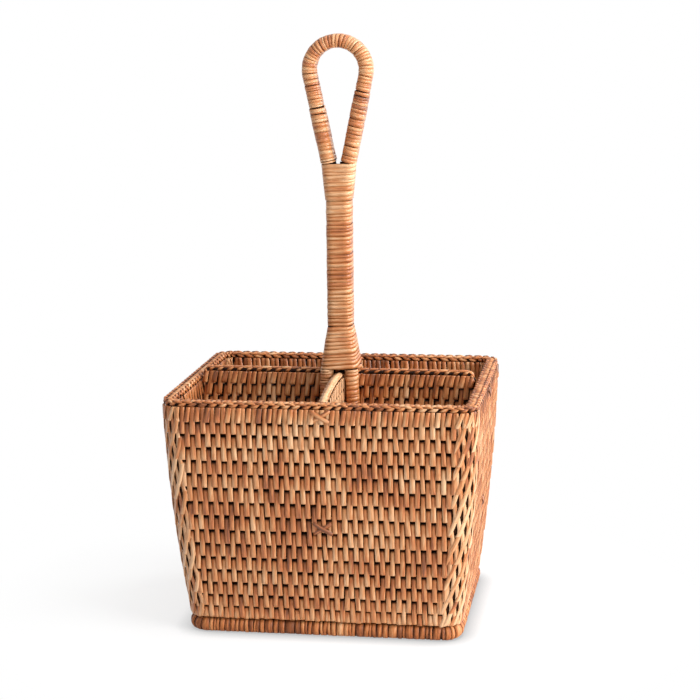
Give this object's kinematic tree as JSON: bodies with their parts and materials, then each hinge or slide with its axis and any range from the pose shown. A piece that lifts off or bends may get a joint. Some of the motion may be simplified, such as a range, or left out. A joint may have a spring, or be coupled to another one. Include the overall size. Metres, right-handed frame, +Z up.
{
  "type": "utensil caddy",
  "caption": "Woven rattan cutlery caddy: tapered basket on a wrapped foot ring, crossed dividers that make compartments, and a tall wrapped stem handle that ends in a loop.",
  "frame": {"origin": "on the table under the middle of the foot ring", "axes": "+Z up along the handle; +X along the basket's long side; -Y is the front"},
  "size_m": [0.1992, 0.168, 0.374],
  "materials": {
    "rattan_rod": "round rattan core, scraped smooth",
    "woven_peel": "split rattan peel, satin",
    "rim_peel": "plaited rattan peel, satin",
    "binding_peel": "wound rattan peel, satin",
    "lashing_peel": "rattan peel, satin"
  },
  "bodies": {
    "root": {"wall_rod_01": "rattan_rod", "wall_rod_02": "rattan_rod", "wall_rod_03": "rattan_rod", "wall_rod_04": "rattan_rod", "wall_rod_05": "rattan_rod", "wall_rod_06": "rattan_rod", "wall_rod_07": "rattan_rod", "wall_rod_08": "rattan_rod", "wall_rod_09": "rattan_rod", "wall_rod_10": "rattan_rod", "wall_rod_11": "rattan_rod", "wall_rod_12": "rattan_rod", "wall_rod_13": "rattan_rod", "wall_rod_14": "rattan_rod", "wall_rod_15": "rattan_rod", "wall_rod_16": "rattan_rod", "rim_rod": "rattan_rod", "floor_rods": "rattan_rod", "foot_ring_pole": "rattan_rod", "long_divider_rods": "rattan_rod", "front_divider_rods": "rattan_rod", "back_divider_rods": "rattan_rod", "front_handle_pole": "rattan_rod", "back_handle_pole": "rattan_rod", "front_wall_weave": "woven_peel", "back_wall_weave": "woven_peel", "left_wall_weave": "woven_peel", "right_wall_weave": "woven_peel", "front_left_corner_weave": "woven_peel", "front_right_corner_weave": "woven_peel", "back_left_corner_weave": "woven_peel", "back_right_corner_weave": "woven_peel", "floor_weave": "woven_peel", "long_divider_weave": "woven_peel", "front_divider_weave": "woven_peel", "back_divider_weave": "woven_peel", "rim_braid": "rim_peel", "long_divider_rim": "rim_peel", "front_divider_rim": "rim_peel", "back_divider_rim": "rim_peel", "foot_ring_binding": "binding_peel", "front_left_leg_binding": "binding_peel", "front_right_leg_binding": "binding_peel", "back_left_leg_binding": "binding_peel", "back_right_leg_binding": "binding_peel", "flare_binding": "binding_peel", "stem_binding": "binding_peel", "collar_binding": "binding_peel", "loop_left_binding": "binding_peel", "loop_right_binding": "binding_peel", "loop_top_binding": "binding_peel", "front_lashings": "lashing_peel", "back_lashings": "lashing_peel", "left_lashings": "lashing_peel", "right_lashings": "lashing_peel"}
  },
  "joints": []
}
